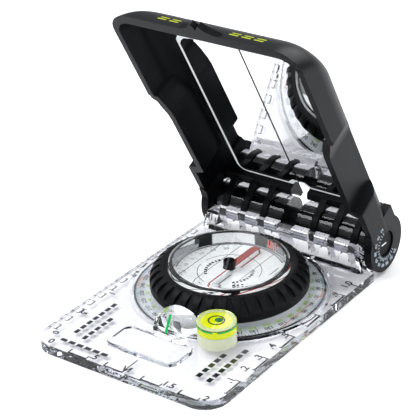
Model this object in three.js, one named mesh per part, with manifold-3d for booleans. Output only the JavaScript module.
// Sighting compass: clear base plate, turning dial, liquid capsule with needle,
// and a hinged mirror cover. Millimetres, +Z up.
// Origin: dial axis, on the underside of the base plate. +X runs along the hinge,
// +Y (back) points from the dial to the hinge. The cover stands open at its rest angle.
import * as THREE from 'three';
import { mergeVertices } from 'three/addons/utils/BufferGeometryUtils.js';
import Module from 'manifold-3d';

const wasm = await Module();
wasm.setup();

// ---------------------------------------------------------------- shared dimensions
const PLATE_HALF_W = 31.5;
const PLATE_T = 3.0;
const PLATE_FRONT = -53.5;
const PLATE_BACK = 29.8;        // back corners
const PLATE_R = 7.0;            // front corner radius
const TONGUE_BACK = 35.6;       // back edge of the narrower part under the hinge
const BOSS_R = 30.5;            // low round boss on the plate, above the dial disc
const BOSS_TOP = 3.8;
const BOSS_CHAMFER = 0.8;
const BOSS_CLEARANCE = 0.04;    // between the boss and the parts cut to fit it
const BOND_GAP = 0.03;          // between stacked or bonded parts

const HINGE_Y = 37.9;           // cover hinge axis
const HINGE_Z = 9.0;
const SHAFT_R = 3.0;
const SHAFT_HALF_L = 29.75;
const BARREL_R = 6.3;           // base hinge barrels
const FINGER_R = 6.9;           // cover hinge fingers
const SLOT_R = 7.25;            // clearance in the plate round the fingers
const GAP_HALF_W = 2.6;         // centre gap where the shaft shows
const WALL_HALF_W = 28.2;       // hinge wall and plate tongue
const BARREL_END = 28.0;
const EAR_X0 = 28.5;            // cover ear inner and outer face
const EAR_X1 = 31.0;
// x from, to on the right half; repeated on the left
const BARRELS = [[GAP_HALF_W, 7.9], [10.3, 15.0], [17.5, 22.2], [24.7, BARREL_END]];
const FINGERS = [[8.05, 10.15], [15.15, 17.35], [22.35, 24.55]];

const SLEEVE_R = 19.5;          // dial sleeve outer radius
const GRIP_R = 23.6;            // grip ring outer radius
const BLADE_Z = 5.05;           // underside of the needle blade
const BLADE_T = 0.3;
const THROUGH = 40;             // half length of cutters that pass right through
const ABOVE = 20;               // z above everything on the plate

// ---------------------------------------------------------------- materials
const CLEAR = { transparent: true, opacity: 0.35 };
const MATERIALS = {
  clearPlate: { color: 0xe9edf4, roughness: 0.06, ...CLEAR },
  clearLens: { color: 0xf2f5fa, roughness: 0.04, ...CLEAR },
  clearLevel: { color: 0xf2f5e8, roughness: 0.05, ...CLEAR },
  clearDial: { color: 0xe6ebf2, roughness: 0.08, ...CLEAR },
  clearCup: { color: 0xeef2f8, roughness: 0.05, ...CLEAR },
  clearDisc: { color: 0xf0f2f5, roughness: 0.1, ...CLEAR },
  clearLid: { color: 0xf4f7fb, roughness: 0.03, ...CLEAR },
  shaft: { color: 0x17181a, roughness: 0.45 },
  shaftEnd: { color: 0x2a2c31, roughness: 0.5 },
  washer: { color: 0x9aa0a6, roughness: 0.35, metalness: 0.9 },
  levelSeat: { color: 0xe3e6cf, roughness: 0.35 },
  levelLiquid: { color: 0xdfe600, roughness: 0.2 },
  frictionRing: { color: 0x202020, roughness: 0.8 },
  gripRubber: { color: 0x121212, roughness: 0.75 },
  pivotSteel: { color: 0xb0b4b8, roughness: 0.25, metalness: 1 },
  seal: { color: 0x1c1c1e, roughness: 0.6 },
  blade: { color: 0xb83420, roughness: 0.45 },
  magnet: { color: 0x141518, roughness: 0.4 },
  jewel: { color: 0x9b2f5a, roughness: 0.15 },
  cover: { color: 0x3a3d43, roughness: 0.42 },
  mirror: { color: 0xdfe4ea, roughness: 0.03, metalness: 1 },
  adhesive: { color: 0x202124, roughness: 0.8 },
};

// ---------------------------------------------------------------- solids and meshes
function signedVolume(positions) {
  const corner = i => new THREE.Vector3().fromArray(positions, i);
  let volume = 0;
  for (let i = 0; i < positions.length; i += 9) {
    volume += corner(i).dot(corner(i + 3).cross(corner(i + 6)));
  }
  return volume;
}

// Three.js geometry -> Manifold solid. Faces are turned outward first, because
// a lathe profile or polygon may be listed in either direction.
function toSolid(source) {
  let geometry = source.index ? source.toNonIndexed() : source;
  const positions = geometry.attributes.position.array;
  if (signedVolume(positions) < 0) {
    for (let i = 0; i < positions.length; i += 9) {
      const second = positions.slice(i + 3, i + 6);
      positions.copyWithin(i + 3, i + 6, i + 9);
      positions.set(second, i + 6);
    }
  }
  for (const key of Object.keys(geometry.attributes)) {
    if (key !== 'position') geometry.deleteAttribute(key);
  }
  geometry = mergeVertices(geometry, 1e-4);
  return new wasm.Manifold(new wasm.Mesh({
    numProp: 3,
    vertProperties: new Float32Array(geometry.attributes.position.array),
    triVerts: new Uint32Array(geometry.index.array),
  }));
}

function addPiece(parent, name, solid, material) {
  const { vertProperties, triVerts } = solid.getMesh();
  const geometry = new THREE.BufferGeometry();
  geometry.setAttribute('position', new THREE.BufferAttribute(vertProperties, 3));
  geometry.setIndex(Array.from(triVerts));
  geometry.computeVertexNormals();
  const mesh = new THREE.Mesh(geometry, new THREE.MeshStandardMaterial(material));
  mesh.name = name;
  parent.add(mesh);
}

function box(x0, x1, y0, y1, z0, z1) {
  const geometry = new THREE.BoxGeometry(x1 - x0, y1 - y0, z1 - z0);
  geometry.translate((x0 + x1) / 2, (y0 + y1) / 2, (z0 + z1) / 2);
  return toSolid(geometry);
}

function cylinderZ(radius, z0, z1, segments) {
  const geometry = new THREE.CylinderGeometry(radius, radius, z1 - z0, segments);
  geometry.rotateX(Math.PI / 2);
  geometry.translate(0, 0, (z0 + z1) / 2);
  return toSolid(geometry);
}

function cylinderX(radius, x0, x1, segments = 36, y = 0, z = 0) {
  const geometry = new THREE.CylinderGeometry(radius, radius, x1 - x0, segments);
  geometry.rotateZ(Math.PI / 2);
  geometry.translate((x0 + x1) / 2, y, z);
  return toSolid(geometry);
}

const hingeCylinder = (radius, x0, x1) => cylinderX(radius, x0, x1, 36, HINGE_Y, HINGE_Z);

function extrude(points, depth) {
  const shape = new THREE.Shape(points.map(([x, y]) => new THREE.Vector2(x, y)));
  shape.closePath();
  return new THREE.ExtrudeGeometry(shape, { depth, bevelEnabled: false, steps: 1 });
}

// polygon in (x, y), extruded along z
function prismZ(points, z0, z1) {
  return toSolid(extrude(points, z1 - z0).translate(0, 0, z0));
}

// polygon in (y, z), extruded along x
function prismX(points, x0, x1) {
  const place = new THREE.Matrix4().set(0, 0, 1, x0, 1, 0, 0, 0, 0, 1, 0, 0, 0, 0, 0, 1);
  return toSolid(extrude(points, x1 - x0).applyMatrix4(place));
}

// polygon in (x, z), extruded along y
function prismY(points, y0, y1) {
  const place = new THREE.Matrix4().set(0, 1, 0, 0, 0, 0, 1, y0, 1, 0, 0, 0, 0, 0, 0, 1);
  return toSolid(extrude(points.map(([x, z]) => [z, x]), y1 - y0).applyMatrix4(place));
}

// (radius, z) profile turned about Z; closed on itself unless it runs from axis to axis
function turned(points, segments) {
  const profile = points.map(([radius, z]) => new THREE.Vector2(radius, z));
  if (points[0][0] > 0) profile.push(profile[0].clone());
  return toSolid(new THREE.LatheGeometry(profile, segments).rotateX(Math.PI / 2));
}

// skin over a stack of convex outlines { depth, points }, one per depth
function loft(levels) {
  const positions = [];
  const index = [];
  const count = levels[0].points.length;
  for (const { depth, points } of levels) {
    for (const [x, y] of points) positions.push(x, y, depth);
  }
  for (let k = 0; k < levels.length - 1; k++) {
    for (let i = 0; i < count; i++) {
      const low = k * count + i;
      const lowNext = k * count + (i + 1) % count;
      const high = low + count;
      const highNext = lowNext + count;
      index.push(low, lowNext, highNext, low, highNext, high);
    }
  }
  const top = (levels.length - 1) * count;
  for (let i = 1; i < count - 1; i++) {
    index.push(0, i + 1, i);
    index.push(top, top + i, top + i + 1);
  }
  const geometry = new THREE.BufferGeometry();
  geometry.setAttribute('position', new THREE.Float32BufferAttribute(positions, 3));
  geometry.setIndex(index);
  return toSolid(geometry);
}

// ---------------------------------------------------------------- outlines
// angles in degrees
function arc(centreX, centreY, radius, from, to, steps) {
  const points = [];
  for (let i = 0; i <= steps; i++) {
    const angle = (from + (to - from) * i / steps) * Math.PI / 180;
    points.push([centreX + radius * Math.cos(angle), centreY + radius * Math.sin(angle)]);
  }
  return points;
}

function roundRect(x0, x1, y0, y1, radius, steps) {
  return [
    ...arc(x0 + radius, y0 + radius, radius, 180, 270, steps),
    ...arc(x1 - radius, y0 + radius, radius, 270, 360, steps),
    ...arc(x1 - radius, y1 - radius, radius, 0, 90, steps),
    ...arc(x0 + radius, y1 - radius, radius, 90, 180, steps),
  ];
}

// right half outline from bottom to top -> full outline
function mirrored(points) {
  return [...points, ...points.slice().reverse().map(([x, y]) => [-x, y])];
}

// an x span on the right and its mirror image on the left
const bothSides = (inner, outer) => [[inner, outer], [-outer, -inner]];

// ---------------------------------------------------------------- base plate
// boss with its sloped edge, grown by the given clearance
function boss(grow) {
  const top = BOSS_TOP + grow;
  const radius = BOSS_R + grow;
  return turned([[0, 2.0], [radius, 2.0], [radius, PLATE_T],
    [BOSS_R - BOSS_CHAMFER + grow, top], [0, top]], 60);
}

function plateSlab() {
  const cornerX = PLATE_HALF_W - PLATE_R;
  const cornerY = PLATE_FRONT + PLATE_R;
  return prismZ([
    [-PLATE_HALF_W, PLATE_BACK],
    ...arc(-cornerX, cornerY, PLATE_R, 180, 270, 10),
    ...arc(cornerX, cornerY, PLATE_R, 270, 360, 10),
    [PLATE_HALF_W, PLATE_BACK], [WALL_HALF_W, PLATE_BACK], [WALL_HALF_W, TONGUE_BACK],
    [-WALL_HALF_W, TONGUE_BACK], [-WALL_HALF_W, PLATE_BACK]], 0, PLATE_T);
}

// wall behind the dial: leaning front face, ends sloping down
function hingeWall() {
  const root = 2.9;             // starts just inside the plate
  const top = 10.2;
  const side = [[26.6, root], [32.4, root], [32.4, top], [29.2, top]];
  const front = [[-WALL_HALF_W, 2], [WALL_HALF_W, 2], [WALL_HALF_W, 8.3],
    [24.2, top], [-24.2, top], [-WALL_HALF_W, 8.3]];
  let wall = prismX(side, -WALL_HALF_W, WALL_HALF_W).intersect(prismY(front, 20, 40));
  // small gussets at the wall ends, (x, z) for the right one
  const gusset = [[27, root], [28.9, root], [28.7, 5.0], [28.0, 7.5], [27, 8.0]];
  for (const side of [1, -1]) {
    wall = wall.add(prismY(gusset.map(([x, z]) => [x * side, z]), 26.9, 28.3));
  }
  return wall;
}

function cutHingeSlots(plate) {
  const slotFront = 30.7;
  const slotFloor = 6.6;
  const sideClearance = 0.15;
  // slots for the cover fingers
  for (const [inner, outer] of FINGERS) {
    for (const [x0, x1] of bothSides(inner - sideClearance, outer + sideClearance)) {
      plate = plate.subtract(hingeCylinder(SLOT_R, x0, x1));
      plate = plate.subtract(box(x0, x1, slotFront, HINGE_Y, slotFloor, ABOVE));
    }
  }
  // wall thinned behind its front face between the barrel blocks
  for (const [inner, outer] of [[6.9, 10.9], [14.4, 18.1], [21.5, 25.0]]) {
    for (const [x0, x1] of bothSides(inner, outer)) {
      plate = plate.subtract(box(x0, x1, slotFront, 32.0, slotFloor, ABOVE));
    }
  }
  // centre gap, then the shaft bore
  return plate
    .subtract(hingeCylinder(SLOT_R, -GAP_HALF_W, GAP_HALF_W))
    .subtract(box(-GAP_HALF_W, GAP_HALF_W, 20, HINGE_Y, 8.6, ABOVE))
    .subtract(hingeCylinder(SHAFT_R + 0.04, -THROUGH, THROUGH));
}

// one tier of the raised rectangular magnifier
function magnifierTier(inset, z0, z1) {
  return prismZ(roundRect(-12.1 + inset, 12.1 - inset, -44.8 + inset, -33.4 - inset,
    3.0 - inset * 0.6, 4), z0, z1);
}

function basePlate() {
  const dialBoreR = 19.6;       // hole for the dial sleeve
  const recessR = 29.1;         // underside recess the dial disc turns in
  const recessDepth = 3.1;
  // block in front of each barrel and its web down to the plate, (y, z)
  const block = [[31.5, 0.4], [TONGUE_BACK, 0.4], [HINGE_Y, 2.75], [HINGE_Y, HINGE_Z],
    [31.5, HINGE_Z]];
  let plate = plateSlab().add(hingeWall());
  for (const [inner, outer] of BARRELS) {
    for (const [x0, x1] of bothSides(inner, outer)) {
      plate = plate.add(hingeCylinder(BARREL_R, x0, x1)).add(prismX(block, x0, x1));
    }
  }
  return cutHingeSlots(plate)
    .add(boss(0))
    .subtract(cylinderZ(dialBoreR, -1, 5, 60))
    .subtract(cylinderZ(recessR, -1, recessDepth, 60))
    .add(magnifierTier(0, 2.5, 3.9))
    .add(magnifierTier(0.9, 3.5, 4.3));
}

const root = new THREE.Group();
addPiece(root, 'baseplate', basePlate(), MATERIALS.clearPlate);

// ---------------------------------------------------------------- hinge shaft and its end pieces
function addHingeShaft() {
  const shaft = hingeCylinder(SHAFT_R, -SHAFT_HALF_L, SHAFT_HALF_L);
  addPiece(root, 'hinge_shaft', shaft, MATERIALS.shaft);

  const endNames = ['clinometer_pointer_disc', 'shaft_end_cap'];      // right, left
  bothSides(29.8, 30.55).forEach(([x0, x1], i) => {
    addPiece(root, endNames[i], hingeCylinder(3.85, x0, x1), MATERIALS.shaftEnd);
  });

  // washers between the last barrels and the ears
  const gap = 0.07;
  const washerNames = ['hinge_friction_washer_right', 'hinge_friction_washer_left'];
  bothSides(BARREL_END + gap, EAR_X0 - gap).forEach(([x0, x1], i) => {
    const washer = hingeCylinder(5.4, x0, x1)
      .subtract(hingeCylinder(SHAFT_R + 0.06, -THROUGH, THROUGH));
    addPiece(root, washerNames[i], washer, MATERIALS.washer);
  });
}
addHingeShaft();

// ---------------------------------------------------------------- index lens
// dome on the plate, cut to clear the grip ring and the boss, front top cut level then sloping
function indexLens() {
  const centreY = -26.3;
  const profile = [[0, 0], [6.9, 0], [6.9, 0.9], ...arc(0, -1.1, 7.2, 16, 88, 7), [0, 6.1]];
  const frontCut = [[-40, 6.2], [-28.6, 6.2], [-24.6, 12], [-40, 12]];   // y, z
  return turned(profile, 32)
    .translate([0, centreY, PLATE_T + BOND_GAP])
    .subtract(cylinderZ(GRIP_R + 0.4, 2, ABOVE, 60))
    .subtract(boss(BOSS_CLEARANCE))
    .subtract(prismX(frontCut, -10, 10));
}
addPiece(root, 'index_lens', indexLens(), MATERIALS.clearLens);

// ---------------------------------------------------------------- bull's-eye level
function addLevel() {
  const radius = 5.65;
  const cupInnerR = radius - 0.7;
  const bottom = PLATE_T + BOND_GAP;
  const seatTop = bottom + 1.9;
  const cupBottom = seatTop + BOND_GAP;
  const cupFloor = bottom + 2.6;
  const cupTop = bottom + 6.3;
  const plugR = cupInnerR - 0.08;
  const plugBottom = bottom + 5.95;
  const lidBottom = cupTop + BOND_GAP;
  const place = solid => solid.translate([14.2, -26.6, 0]);

  const seat = place(cylinderZ(radius - 0.2, bottom, seatTop, 36))
    .subtract(boss(BOSS_CLEARANCE));
  addPiece(root, 'level_seat', seat, MATERIALS.levelSeat);

  const cup = turned([[0, cupBottom], [radius, cupBottom], [radius, cupTop],
    [cupInnerR, cupTop], [cupInnerR, cupFloor], [0, cupFloor]], 36);
  addPiece(root, 'level_cup', place(cup), MATERIALS.clearLevel);

  const liquid = cylinderZ(cupInnerR - 0.05, cupFloor + BOND_GAP, bottom + 5.9, 36);
  addPiece(root, 'level_liquid', place(liquid), MATERIALS.levelLiquid);

  // lid with its plug standing in the cup
  const lid = turned([[0, plugBottom], [plugR, plugBottom], [plugR, lidBottom],
    [radius, lidBottom], [radius, bottom + 6.75], [radius - 0.35, bottom + 7.05],
    [0, bottom + 7.1]], 36);
  addPiece(root, 'level_lid', place(lid), MATERIALS.clearLevel);
}
addLevel();

// ---------------------------------------------------------------- dial
// Profiles below, as in all turned parts, are (radius, z).
const dial = new THREE.Group();
root.add(dial);

// graduated disc with its sleeve standing up through the plate
function graduatedDial() {
  const discR = 28.5;
  return turned([[18.75, 0.5], [discR, 0.5], [discR, 3.0], [SLEEVE_R, 3.0],
    [SLEEVE_R, 6.0], [18.0, 6.0], [18.0, 1.6], [18.75, 1.6]], 60);
}

// ring between the grip ring and the plate boss
function frictionRing() {
  const innerR = SLEEVE_R + 0.12;
  return turned([[innerR, 3.85], [21.2, 3.85], [21.2, 4.35], [innerR, 4.35]], 48);
}

// rubber ring, notched all round the outside
function gripRing() {
  const boreR = SLEEVE_R + 0.1;
  const notches = 36;
  let grip = turned([[boreR, 4.4], [23.0, 4.4], [GRIP_R, 4.8], [GRIP_R, 7.6], [23.0, 9.3],
    [21.7, 10.6], [20.1, 11.2], [18.15, 10.8], [18.15, 6.06], [boreR, 6.06]], 72);
  for (let i = 0; i < notches; i++) {
    const notch = new THREE.BoxGeometry(2.0, 1.5, 5.0);
    notch.translate(GRIP_R + 0.25, 0, 7.1);
    notch.rotateZ((i + 0.5) * 2 * Math.PI / notches);
    grip = grip.subtract(toSolid(notch));
  }
  return grip;
}

addPiece(dial, 'graduated_dial', graduatedDial(), MATERIALS.clearDial);
addPiece(dial, 'dial_friction_ring', frictionRing(), MATERIALS.frictionRing);
addPiece(dial, 'grip_ring', gripRing(), MATERIALS.gripRubber);

// ---------------------------------------------------------------- capsule
const capsule = new THREE.Group();
root.add(capsule);

function addCapsule() {
  const radius = 17.9;
  const flangeZ = 1.0;          // underside of the low flange
  const floorTop = 2.2;
  const restZ = floorTop + 0.05;        // parts standing on the floor
  const top = 13.1;

  const cup = turned([[0, 0], [17.7, 0], [17.7, flangeZ], [18.6, flangeZ], [18.6, 1.5],
    [radius, 1.5], [radius, 11.4], [16.3, 11.4], [16.3, floorTop], [0, floorTop]], 60);
  addPiece(capsule, 'capsule_cup', cup, MATERIALS.clearCup);

  const disc = cylinderZ(16.1, restZ, restZ + 0.5, 48).subtract(cylinderZ(0.75, 1, 4, 16));
  addPiece(capsule, 'orienting_disc', disc, MATERIALS.clearDisc);

  const pivot = turned([[0, restZ], [0.6, restZ], [0.6, 7.0], [0.12, 8.05], [0, 8.1]], 16);
  addPiece(capsule, 'needle_pivot', pivot, MATERIALS.pivotSteel);

  // ring between cup and lid
  const seal = turned([[16.45, 11.46], [17.2, 11.46], [17.2, 11.8], [16.45, 11.8]], 48);
  addPiece(capsule, 'capsule_seal', seal, MATERIALS.seal);

  const lid = turned([[0, 12.35], [15.9, 12.35], [15.9, 11.2], [16.22, 11.2],
    [16.35, 11.86], [radius, 11.86], [radius, 12.3], [17.2, top], [0, top]], 60);
  addPiece(capsule, 'capsule_lid', lid, MATERIALS.clearLid);
}
addCapsule();

// ---------------------------------------------------------------- needle
const needle = new THREE.Group();
root.add(needle);

// flat two-ended blade with a hole for the magnet housing
function needleBlade() {
  const rightHalf = [[0.6, -14.4], [1.25, -13.2], [1.25, 13.2], [0.6, 14.4]];
  return prismZ(mirrored(rightHalf), BLADE_Z, BLADE_Z + BLADE_T)
    .add(cylinderZ(2.1, BLADE_Z, BLADE_Z + BLADE_T, 24))
    .subtract(cylinderZ(1.35, 4, 7, 24));
}

// housing grooved round the blade, with a blind socket for the bearing
function needleMagnet() {
  const gap = 0.05;
  const grooveTop = BLADE_Z + BLADE_T + gap;
  const grooveBottom = BLADE_Z - gap;
  return turned([[0, 11.2], [1.6, 11.2], [1.75, 11.05], [1.75, grooveTop],
    [1.28, grooveTop], [1.28, grooveBottom], [1.9, grooveBottom], [1.9, 4.6],
    [0.95, 4.6], [0.95, 8.65], [0, 8.65]], 28);
}

// bearing in the socket, over the pivot tip
function jewelBearing() {
  return turned([[0, 8.18], [0.2, 8.12], [0.42, 7.7], [0.9, 7.7], [0.9, 8.6], [0, 8.6]], 20);
}

addPiece(needle, 'needle_blade', needleBlade(), MATERIALS.blade);
addPiece(needle, 'needle_magnet', needleMagnet(), MATERIALS.magnet);
addPiece(needle, 'jewel_bearing', jewelBearing(), MATERIALS.jewel);

// ---------------------------------------------------------------- cover
// Local frame: x, s along the cover from the hinge axis (local y), and depth
// (local z), which points towards the plate when the cover is closed.
const REST_ANGLE = 118.9;       // cover direction from +Y, degrees (180 = closed)
const RIM_D = 5.4;              // rim plane
const BACK_D = -8.6;            // outer back plane
const FLOOR_D = -7.15;          // inner floor the mirror is stuck to
const MIRROR_D = -6.0;          // mirror front plane
const MIRROR_T = 0.9;
const ROOT_S = -3;              // where the raw body starts, trimmed later
const FINGER_CLEAR_R = 6.75;    // body cut back round the hinge axis

const cover = new THREE.Group();
cover.position.set(0, HINGE_Y, HINGE_Z);
cover.rotation.x = REST_ANGLE * Math.PI / 180;
root.add(cover);

// right half plans (x, s): ear side, waist, shoulder, then straight on past the tip
const OUTER_PLAN = [
  [31.2, ROOT_S], [31.2, 20.6], [30.9, 21.2], [27.9, 22.0], [27.7, 23.0], [27.8, 45.5],
  [28.2, 48.0], [29.2, 50.8], [29.9, 53.2], [31.0, 53.9], [32.0, 55.3], [32.0, 100]];
const INNER_PLAN = [
  [29.2, ROOT_S], [29.2, 18.6], [25.9, 20.0], [25.7, 21.0], [25.8, 46.5], [26.2, 49.2],
  [27.2, 52.6], [28.4, 55.4], [29.5, 56.6], [30.5, 57.7], [30.5, 100]];

// Both skins start flat at depths[0], round the long edges by edgeR and curve the tip
// by tipR about tipS. The corner radius is rimCornerR at the rim and grows by
// cornerGrowth down to the outer back plane.
const OUTER_SKIN = {
  depths: [BACK_D, -8.5, -8.2, -7.6, -6.7, -5.4, -3.7, -1.7, 0.4, 2.9, RIM_D],
  halfWidth: 31.5, edgeR: 8.7, tipS: 70, tipR: 24.76, rimCornerR: 8.0, cornerGrowth: 2.5,
};
const INNER_SKIN = {
  depths: [FLOOR_D, -7.0, -6.6, -5.8, -4.6, -3.0, -1.2, 0.8, 3.2, 5.6, 8.5],
  halfWidth: 29.6, edgeR: 7.2, tipS: 71.5, tipR: 18.48, rimCornerR: 5.2, cornerGrowth: 1.6,
};

function coverSkin({ depths, halfWidth, edgeR, tipS, tipR, rimCornerR, cornerGrowth }) {
  const reach = (radius, offset) => Math.sqrt(Math.max(0, radius ** 2 - offset ** 2));
  const edgeD = depths[0] + edgeR;
  const tipD = depths[0] + tipR;
  return loft(depths.map(depth => {
    const inset = depth < edgeD ? edgeR - reach(edgeR, depth - edgeD) : 0;
    const half = halfWidth - inset;
    const end = tipS + reach(tipR, depth - tipD);
    const fromRim = Math.max(0, (RIM_D - depth) / (RIM_D - BACK_D));
    const cornerR = rimCornerR + cornerGrowth * fromRim;
    const corner = arc(half - cornerR, end - cornerR, cornerR, 0, 90, 6);
    return { depth, points: mirrored([[half, ROOT_S], ...corner]) };
  }));
}

function coverBody() {
  const outer = coverSkin(OUTER_SKIN)
    .intersect(prismZ(mirrored(OUTER_PLAN), BACK_D - 1, RIM_D + 1));
  const pocket = coverSkin(INNER_SKIN)
    .intersect(prismZ(mirrored(INNER_PLAN), FLOOR_D - 1, 9));
  let body = outer
    .subtract(pocket)
    // rim cut back a little where it passes over the dial boss
    .subtract(box(-THROUGH, THROUGH, 10, 56, 5.0, 8))
    // back panel stops above the barrels
    .subtract(box(-EAR_X0, EAR_X0, -6, 1.2, -12, 8))
    .subtract(cylinderX(FINGER_CLEAR_R, -EAR_X0, EAR_X0, 40));
  // side walls stop level with the hinge axis
  for (const [x0, x1] of bothSides(27, 33)) {
    body = body.subtract(box(x0, x1, -6, 0, -12, 8));
  }
  return body;
}

// thick bar under the mirror's lower edge that carries the fingers, (s, depth)
function fingerBar() {
  const backD = BACK_D + 0.05;
  return prismX([[1.2, backD], [8.3, backD], [8.3, -4.6], [7.4, -3.9], [6.3, -3.6],
    [5.2, -5.0], [3.4, -6.3], [1.2, -7.0]], -27.5, 27.5)
    .subtract(cylinderX(FINGER_CLEAR_R, -EAR_X0, EAR_X0, 40));
}

function addFingers(shell) {
  const web = [[0, -FINGER_R], [0, -8.0], [8.0, -8.0], [8.0, -3.0], [6.0, 1.5], [0, 4]];
  for (const [inner, outer] of FINGERS) {
    for (const [x0, x1] of bothSides(inner, outer)) {
      shell = shell.add(cylinderX(FINGER_R, x0, x1, 32)).add(prismX(web, x0, x1));
    }
  }
  return shell;
}

// round ears, each with a recess in its outer face for the shaft end piece
function addEars(shell) {
  const earR = 9.0;
  const web = [[0, -7.9], [9.5, -7.9], [9.5, RIM_D], [4, RIM_D + 1.2], [0, earR - 0.6]];
  const recesses = bothSides(29.7, 33);
  bothSides(EAR_X0, EAR_X1).forEach(([x0, x1], i) => {
    shell = shell
      .add(cylinderX(earR, x0, x1, 44))
      .add(prismX(web, x0, x1))
      .subtract(cylinderX(4.05, ...recesses[i], 32));
  });
  return shell;
}

function coverShell() {
  // see-through notch in the panel above the centre gap, (x, s)
  const sightNotch = [[-2.9, 0], [2.9, 0], [2.9, 8.2], [1.7, 10.2], [-1.7, 10.2], [-2.9, 8.2]];
  // hump on the tip with the sighting vee, (x, s)
  const sightVee = [[-7.6, 91.0], [7.6, 91.0], [5.0, 92.5], [2.6, 93.4], [1.3, 94.9],
    [0, 93.1], [-1.3, 94.9], [-2.6, 93.4], [-5.0, 92.5]];
  return addEars(addFingers(coverBody().add(fingerBar())))
    .subtract(cylinderX(SHAFT_R + 0.09, -THROUGH, THROUGH))
    .subtract(prismZ(sightNotch, -12, 8))
    .add(prismZ(sightVee, 3.4, RIM_D));
}

// mirror with rounded bottom corners and a notch at the sight line
function mirrorPlate() {
  const half = 23.0;
  const bottom = 8.6;
  const cornerR = 3.5;
  const cornerX = half - cornerR;
  const cornerS = bottom + cornerR;
  const outline = [
    ...arc(-cornerX, cornerS, cornerR, 180, 270, 5),
    [-2.9, bottom], [-1.5, 10.4], [1.5, 10.4], [2.9, bottom],
    ...arc(cornerX, cornerS, cornerR, 270, 360, 5),
    ...mirrored([[half, 70.2], [22.0, 71.9], [20.6, 73.1], [18.0, 73.7]])];
  return prismZ(outline, MIRROR_D - MIRROR_T, MIRROR_D);
}

// thin pad between the mirror and the cover floor
function adhesivePad() {
  return prismZ(roundRect(-20.5, 20.5, 13, 65, 2, 3),
    FLOOR_D + BOND_GAP, MIRROR_D - MIRROR_T - BOND_GAP);
}

addPiece(cover, 'cover_shell', coverShell(), MATERIALS.cover);
addPiece(cover, 'mirror', mirrorPlate(), MATERIALS.mirror);
addPiece(cover, 'mirror_adhesive_pad', adhesivePad(), MATERIALS.adhesive);

export default root;
